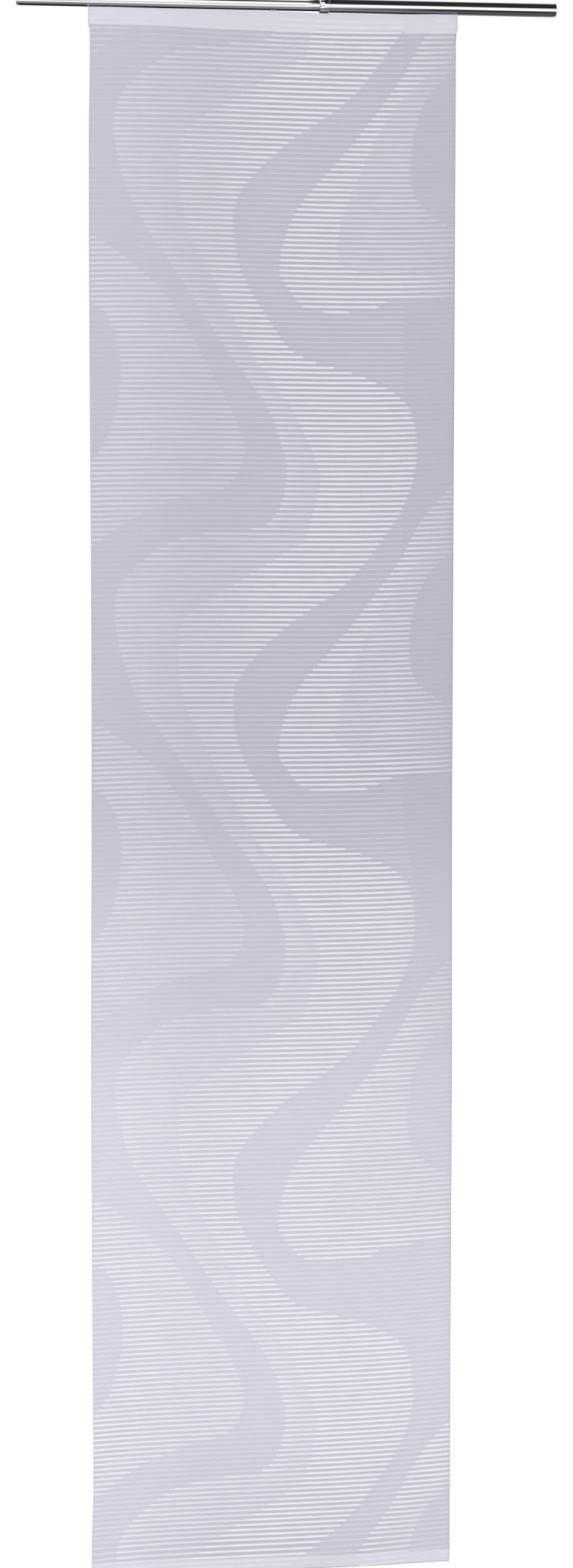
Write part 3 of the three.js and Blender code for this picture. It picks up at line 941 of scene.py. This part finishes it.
def build_mottle():
    group, given, out = new_group("mottle", {"Scale": 6.0, "Amount": 0.05}, ("Shade",))
    coords = group.nodes.new("ShaderNodeTexCoord").outputs["Object"]
    cloud = place(group, "ShaderNodeTexNoise", Vector=coords, Scale=given["Scale"], Detail=3.0)
    feed(group, out, Shade=shade_from(group, cloud.outputs["Fac"], MEAN_NOISE, given["Amount"]))
    return group


def build_painted_backlight():
    """How much painted light from behind the cloth gets at a height, from 0 to 1, with some more at its
    left side.
    """
    group, given, out = new_group("painted_backlight", {"Left side": 0.2}, ("Share",))
    parts = axes_of(group, "Object")
    down = calc(group, "MULTIPLY_ADD", parts["Z"], -1 / cloth_drop, cloth_top / cloth_drop)
    stops = [(spot, (share, share, share, 1.0)) for spot, share in PAINTED_BACKLIGHT_STOPS]
    by_height = colour_ramp(group, down, stops, "EASE")
    side = place(
        group, "ShaderNodeMapRange", Value=parts["X"], From_Min=LEFT_SIDE_FROM, From_Max=LEFT_SIDE_FULL,
    )
    side.interpolation_type = "SMOOTHSTEP"
    share = calc(group, "MULTIPLY_ADD", side.outputs["Result"], given["Left side"], by_height)
    feed(group, out, Share=share)
    return group


thread_grain = build_thread_grain()
mottle = build_mottle()
painted_backlight = build_painted_backlight()
print("shared groups", [g.name for g in bpy.data.node_groups])


def mottled(tree, colour, scale, amount):
    return shaded(tree, colour, use_group(tree, mottle, Scale=scale, Amount=amount)["Shade"])


# %% [markdown]
# ## The cloth's finish
# The ground is a grey lavender voile. Between bright ribs it looks darker, because the ground yarns are
# pulled apart there and as painted shade from the ribs, and where the fabric lies double it is paler. The
# voile is sheer, and the light from the pale floor behind it is painted into its colours, which grow
# paler towards its foot. Of each pair of colours, the first is the one at the top of the cloth and the
# second the one at its foot, with the least and the most of that painted light.

# %% Ground material
# Each pair runs from the least to the most painted light from behind the cloth.
GROUND_PLAIN = (srgb(187, 185, 199), srgb(216, 214, 227))
# Ground between bright ribs: darker, partly as painted shade from the ribs.
GROUND_RIBBED = (srgb(179, 177, 191), srgb(208, 206, 219))
GROUND_DOUBLE = (srgb(214, 212, 224), srgb(228, 226, 237))
SELVEDGE_TINT = (1.0, 1.0, 0.94, 1.0)
UNDER_SHADE = (0.62, 0.62, 0.62, 1.0)
CLOTH_SHEEN = 0.05


def ground_colours(tree, share):
    """The plain, the ribbed and the doubled ground, with a share of the painted light from behind."""
    return [mix(tree, share, *pair) for pair in (GROUND_PLAIN, GROUND_RIBBED, GROUND_DOUBLE)]


def build_ground():
    material, tree, shader = new_material("lavender_ground", roughness=0.85)
    grain = use_group(tree, thread_grain, Depth=0.01)
    # Painted light: the colours grow paler where light from the pale floor behind the sheer voile would
    # shine through.
    plain, ribbed, double = ground_colours(tree, use_group(tree, painted_backlight)["Share"])
    # Between bright ribs the ground is darker: partly because the ground yarns are pulled apart, partly
    # as painted shade from the ribs.
    colour = mix(tree, attribute(tree, "ribbed"), plain, ribbed)
    colour = mix(tree, attribute(tree, "doubled"), colour, double)
    colour = mottled(tree, shaded(tree, colour, grain["Shade"]), scale=7.0, amount=0.05)
    colour = mix(tree, attribute(tree, "selvedge"), colour, SELVEDGE_TINT, "MULTIPLY")
    # Painted shade on the underside of the hem's turn, for the shadow it lies in.
    colour = mix(tree, attribute(tree, "under"), colour, UNDER_SHADE, "MULTIPLY")
    normal = bump_from(tree, grain["Height"], strength=0.02, distance=0.03 * MM)
    feed(tree, shader, Base_Color=colour, Normal=normal, Sheen_Weight=CLOTH_SHEEN)
    return material


# %% [markdown]
# The rib yarn is whiter than the ground. Its tone follows the strength that the rows were woven with,
# its rims are painted down to the colour of the ground as a painted shade on the rounded rib, and small
# ticks across it are the warp threads that tie it down. It carries the same painted light from behind as
# the ground. Each tone is a strength with the colours it has at the top and at the foot of the cloth.

# %% Rib material
# Each tone's two colours carry the least and the most painted light from behind the cloth.
YARN_TONES = (
    (0.0, srgb(197, 195, 208), srgb(223, 221, 233)),
    (0.45, srgb(217, 215, 226), srgb(241, 239, 249)),
    (0.72, srgb(224, 222, 233), srgb(246, 244, 253)),
    (1.0, srgb(233, 231, 241), srgb(251, 249, 255)),
)
YARN_ON_DOUBLE = (srgb(222, 220, 231), srgb(237, 235, 245))
DOUBLE_SHARE = 0.75
TICKS = (700.0, 100.0, 130.0)
TICK_DEPTH = 0.12


def build_yarn():
    material, tree, shader = new_material("rib_yarn", roughness=0.75)
    # The same painted light from behind as on the ground.
    share = use_group(tree, painted_backlight)["Share"]
    tone = attribute(tree, "tone")
    doubled = attribute(tree, "doubled")
    at_top, at_foot = (
        colour_ramp(tree, tone, [(tones[0], tones[which]) for tones in YARN_TONES]) for which in (1, 2)
    )
    crest = mix(tree, share, at_top, at_foot)
    on_double = calc(tree, "MULTIPLY", doubled, DOUBLE_SHARE)
    crest = mix(tree, on_double, crest, mix(tree, share, *YARN_ON_DOUBLE))
    plain, ribbed, double = ground_colours(tree, share)
    foot = mix(tree, doubled, mix(tree, tone, plain, ribbed), double)
    crest = mix(tree, attribute(tree, "vivid"), foot, crest)
    # Painted shade: the rib's rims are painted down to the colour of the ground beneath.
    colour = mix(tree, attribute(tree, "rim"), crest, foot)
    ticks = stretched_noise(tree, TICKS, detail=1.0)
    colour = shaded(tree, colour, shade_from(tree, ticks, MEAN_NOISE, TICK_DEPTH))
    colour = mottled(tree, colour, scale=24.0, amount=0.07)
    normal = bump_from(tree, ticks, strength=0.1, distance=0.1 * MM)
    feed(tree, shader, Base_Color=colour, Normal=normal, Sheen_Weight=CLOTH_SHEEN)
    return material


def dress(objects, material):
    for piece in objects:
        piece.data.materials.clear()
        piece.data.materials.append(material)


dress([panel_cloth], build_ground())
dress([rib_yarns], build_yarn())

# %% [markdown]
# ## Metal and plastic
# Chrome is a plain metal with almost no roughness: what makes it look real is what it reflects, and that
# is set with the lights. A trace of fine scratches keeps its highlights from being perfect. Inside the
# tubes the steel is bare and dark, and at the lips of their slots the same dark is a painted shade, for
# the dark gap that the lips reflect. Each roughness is a rise and a least value.

# %% Metal and plastic materials
# Bare steel inside the tubes. The same colour is a painted shade at the slots' lips.
BARE_STEEL_AND_LIP_SHADE = srgb(38, 36, 41)
ALUMINIUM_GREY = srgb(206, 207, 210)
PLASTIC_WHITE = srgb(238, 238, 240)
TAPE_WHITE = srgb(236, 236, 240)
CHROME_SCRATCHES, CHROME_STREAKS = (40.0, 2600.0, 2600.0), (2.5, 700.0, 700.0)
ALUMINIUM_LINES = (12.0, 1800.0, 1800.0)
PLASTIC_PORES = (1500.0, 1500.0, 1500.0)
CHROME_ROUGHNESS, ALUMINIUM_ROUGHNESS = (0.015, 0.002), (0.25, 0.25)


def build_chrome():
    material, tree, shader = new_material("rod_chrome", roughness=0.03, metallic=1.0)
    colour = mottled(tree, WHITE, scale=90.0, amount=0.02)
    # Bare steel inside the bore, and painted shade at the slot's lips.
    colour = mix(tree, attribute(tree, "bare_steel_and_painted_shade"), colour, BARE_STEEL_AND_LIP_SHADE)
    scratches = stretched_noise(tree, CHROME_SCRATCHES, detail=2.0)
    roughness = calc(tree, "MULTIPLY_ADD", scratches, *CHROME_ROUGHNESS)
    streaks = stretched_noise(tree, CHROME_STREAKS, detail=2.0)
    normal = bump_from(tree, streaks, strength=0.4, distance=0.02 * MM)
    feed(tree, shader, Base_Color=colour, Roughness=roughness, Normal=normal)
    return material


def build_aluminium():
    material, tree, shader = new_material("anodised_aluminium", roughness=0.35, metallic=1.0)
    colour = mottled(tree, ALUMINIUM_GREY, scale=60.0, amount=0.06)
    lines = stretched_noise(tree, ALUMINIUM_LINES, detail=3.0)
    roughness = calc(tree, "MULTIPLY_ADD", lines, *ALUMINIUM_ROUGHNESS)
    normal = bump_from(tree, lines, strength=0.15, distance=0.05 * MM)
    feed(tree, shader, Base_Color=colour, Roughness=roughness, Normal=normal)
    return material


def build_plastic():
    material, tree, shader = new_material("white_moulding", roughness=0.42)
    colour = mottled(tree, PLASTIC_WHITE, scale=140.0, amount=0.04)
    pores = stretched_noise(tree, PLASTIC_PORES, detail=2.0)
    normal = bump_from(tree, pores, strength=0.12, distance=0.05 * MM)
    feed(tree, shader, Base_Color=colour, Normal=normal)
    return material


def build_tape():
    material, tree, shader = new_material("fastening_tape", roughness=0.95)
    grain = use_group(tree, thread_grain, Threads_per_metre=700.0, Depth=0.35)
    colour = shaded(tree, TAPE_WHITE, grain["Shade"])
    normal = bump_from(tree, grain["Height"], strength=0.8, distance=0.3 * MM)
    feed(tree, shader, Base_Color=colour, Normal=normal)
    return material


dress([wide_tube, slim_tube, collar, plug_right, plug_left], build_chrome())
dress([rail, hem_weight], build_aluminium())
dress(moulded + rail_caps, build_plastic())
dress([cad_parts["hook_tape"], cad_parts["loop_tape"]], build_tape())

# %% [markdown]
# ## Floor, world and lamps
# The photograph's background is white. The world is white for the camera and gives an even light to
# everything else. A chromed rod needs something dark to reflect, so for glossy rays the world has a few
# dark bands, as black cards round a studio table would give, and the floor lets those rays through.

# %% Floor
FLOOR_GAP = 0.045
FLOOR_RADIUS = 14
FLOOR_GLOW = 0.5
FLOOR_GREY = (0.93, 0.93, 0.93, 1.0)


def build_floor():
    bm = bmesh.new()
    bmesh.ops.create_circle(bm, cap_ends=True, radius=FLOOR_RADIUS, segments=96)
    bmesh.ops.translate(bm, verts=bm.verts, vec=(0, 0, cloth_bottom - FLOOR_GAP))
    mesh = bpy.data.meshes.new("floor")
    bm.to_mesh(mesh)
    bm.free()
    floor = add_object("floor", mesh)
    material, tree, shader = new_material("pale_floor", roughness=0.9)
    feed(tree, shader, Base_Color=FLOOR_GREY)
    light_path = tree.nodes.new("ShaderNodeLightPath").outputs
    sides = tree.nodes.new("ShaderNodeNewGeometry").outputs
    glow = place(tree, "ShaderNodeEmission", Color=WHITE, Strength=FLOOR_GLOW)
    lifted = tree.nodes.new("ShaderNodeAddShader")
    for part, socket in zip((shader, glow), lifted.inputs):
        join(tree, part.outputs[0], socket)
    seen = mix_shader(tree, light_path["Is Camera Ray"], shader.outputs[0], lifted.outputs[0])
    clear = tree.nodes.new("ShaderNodeBsdfTransparent").outputs[0]
    passing = calc(tree, "MAXIMUM", light_path["Is Glossy Ray"], light_path["Is Transmission Ray"])
    let_through = calc(tree, "MAXIMUM", sides["Backfacing"], passing)
    feed(tree, tree.nodes["Material Output"], Surface=mix_shader(tree, let_through, seen, clear))
    dress([floor], material)


build_floor()

# %% [markdown]
# The bands are given by their height angle: 0 is level with the rod towards the camera, 90 is straight
# up and -90 straight down. The two ends of the rod look into different halves of the studio, so there
# are two sets of bands, one to each side.

# %% World
WORLD_LIGHT = 0.57
LEFT_BANDS = [
    (-180, 210), (-126, 200), (-112, 70), (-96, 50), (-86, 75), (-76, 150), (-66, 155), (-59, 85),
    (-52, 85), (-45, 240), (-25, 255), (-19, 175), (-11, 175), (-5, 250), (32, 255), (39, 120),
    (47, 15), (62, 8), (70, 190), (82, 235), (180, 230),
]
RIGHT_BANDS = [
    (-180, 195), (-126, 190), (-108, 60), (-92, 60), (-80, 95), (-54, 55), (-43, 12), (-36, 12),
    (-29, 200), (-24, 255), (4, 255), (12, 190), (21, 50), (29, 8), (48, 55), (66, 30), (88, 45),
    (104, 130), (122, 255), (180, 255),
]
SIDE_SPLIT, SIDE_FULL = 0.1304, 0.165
SIDE_LEAST = 0.35
FULL_ABOVE = -0.35


def build_world():
    world = bpy.data.worlds.new("studio")
    bpy.context.scene.world = world
    world.use_nodes = True
    tree = world.node_tree
    tree.nodes.clear()
    parts = axes_of(tree, "Generated")
    towards = calc(tree, "MULTIPLY", parts["Y"], -1.0)
    angle = calc(tree, "ARCTAN2", parts["Z"], towards)
    share = calc(tree, "MULTIPLY_ADD", angle, 1 / (2 * math.pi), 0.5)
    grows = place(
        tree, "ShaderNodeMapRange", Value=parts["X"],
        From_Min=SIDE_SPLIT, From_Max=SIDE_FULL, To_Min=SIDE_LEAST,
    )
    from_above = calc(tree, "GREATER_THAN", angle, FULL_ABOVE)
    weight = calc(tree, "MAXIMUM", grows.outputs["Result"], from_above)
    right_side = calc(tree, "GREATER_THAN", parts["X"], SIDE_SPLIT)
    left, right = (
        colour_ramp(tree, share, [((turn + 180) / 360, srgb(grey, grey, grey)) for turn, grey in bands])
        for bands in (LEFT_BANDS, RIGHT_BANDS)
    )
    bands = mix(tree, calc(tree, "MULTIPLY", right_side, weight), left, right)
    light_path = tree.nodes.new("ShaderNodeLightPath").outputs
    even_light = (WORLD_LIGHT, WORLD_LIGHT, WORLD_LIGHT, 1.0)
    colour = mix(tree, light_path["Is Glossy Ray"], even_light, bands)
    direct = calc(tree, "MAXIMUM", light_path["Is Camera Ray"], light_path["Is Transmission Ray"])
    colour = mix(tree, direct, colour, WHITE)
    background = place(tree, "ShaderNodeBackground", Color=colour)
    place(tree, "ShaderNodeOutputWorld", Surface=background.outputs[0])


build_world()

# %% Lamps
LAMPS = (
    ("key", (-2.6, -3.6, -0.4), (0, 0, -1.4), (2.2, 2.6), 68),
    ("fill", (2.8, -3.4, 0.4), (0, 0, -1.2), (2.0, 2.6), 29),
    ("back", (0.6, 3.0, 0.8), (0, 0, -1.2), (2.4, 2.4), 40),
)
for name, spot, aim, size, power in LAMPS:
    data = bpy.data.lights.new(name, "AREA")
    data.shape = "RECTANGLE"
    data.size, data.size_y = size
    data.energy = power
    lamp = add_object(name, data)
    lamp.rotation_euler = (Vector(aim) - Vector(spot)).to_track_quat("-Z", "Y").to_euler()
    lamp.location = spot
    lamp.visible_glossy = False

# %% Colour management
bpy.context.scene.view_settings.view_transform = "Standard"
